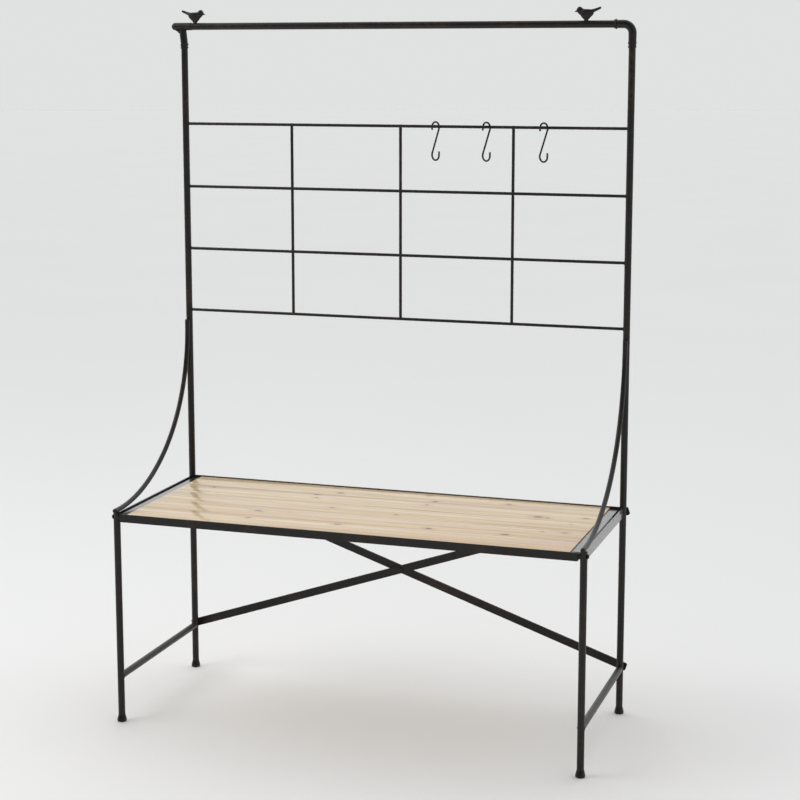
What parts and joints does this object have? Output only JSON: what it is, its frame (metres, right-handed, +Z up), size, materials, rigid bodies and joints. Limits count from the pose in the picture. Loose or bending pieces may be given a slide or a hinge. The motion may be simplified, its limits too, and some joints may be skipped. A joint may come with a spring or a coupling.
{
  "type": "potting bench",
  "caption": "Tall iron potting bench: low boarded table, tube uprights with a trellis back, curved side arms, crossed brace bars, bird finials and hanging S-hooks.",
  "frame": {"origin": "middle of the whole object's box, on the floor", "axes": "+X along the bench to the right, +Y to the back, +Z up"},
  "size_m": [1.2924, 0.508, 1.8644],
  "materials": {
    "iron": "satin",
    "boards": "satin",
    "screws": "satin"
  },
  "bodies": {
    "bench": {"back_upright_left": "iron", "back_upright_right": "iron", "front_leg_left": "iron", "front_leg_right": "iron", "foot_cap_back_left": "iron", "foot_cap_back_right": "iron", "foot_cap_front_left": "iron", "foot_cap_front_right": "iron", "low_side_rail_left": "iron", "low_side_rail_right": "iron", "top_rail": "iron", "rail_elbow_right": "iron", "corner_fitting_left": "iron", "bird_left": "iron", "bird_right": "iron", "trellis_rod_1": "iron", "trellis_rod_2": "iron", "trellis_rod_3": "iron", "trellis_rod_4": "iron", "trellis_stem_left": "iron", "trellis_stem_middle": "iron", "trellis_stem_right": "iron", "side_arm_left": "iron", "side_arm_right": "iron", "arm_bolts": "iron", "front_rail": "iron", "back_rail": "iron", "end_channel_left": "iron", "end_channel_right": "iron", "side_bar_left": "iron", "side_bar_right": "iron", "corner_boss_left": "iron", "corner_boss_right": "iron", "leg_bolts": "iron", "support_bar_left": "iron", "support_bar_middle": "iron", "support_bar_right": "iron", "board_1": "boards", "board_2": "boards", "board_3": "boards", "board_4": "boards", "board_5": "boards", "board_screws": "screws", "brace_bar_front": "iron", "brace_bar_rear": "iron", "brace_rivet": "iron", "brace_spacers": "iron", "brace_bolts": "iron"},
    "hook_left_body": {"hook_left": "iron"},
    "hook_middle_body": {"hook_middle": "iron"},
    "hook_right_body": {"hook_right": "iron"}
  },
  "joints": [
    {"name": "hook_left_swing", "type": "hinge", "parent": "bench", "child": "hook_left_body", "pos_m": [0.11005, 0.2325, 1.557], "axis": [1, 0, 0], "range_deg": [-70, 70]},
    {"name": "hook_middle_swing", "type": "hinge", "parent": "bench", "child": "hook_middle_body", "pos_m": [0.24905, 0.2325, 1.557], "axis": [1, 0, 0], "range_deg": [-70, 70]},
    {"name": "hook_right_swing", "type": "hinge", "parent": "bench", "child": "hook_right_body", "pos_m": [0.40305, 0.2325, 1.557], "axis": [1, 0, 0], "range_deg": [-70, 70]}
  ]
}
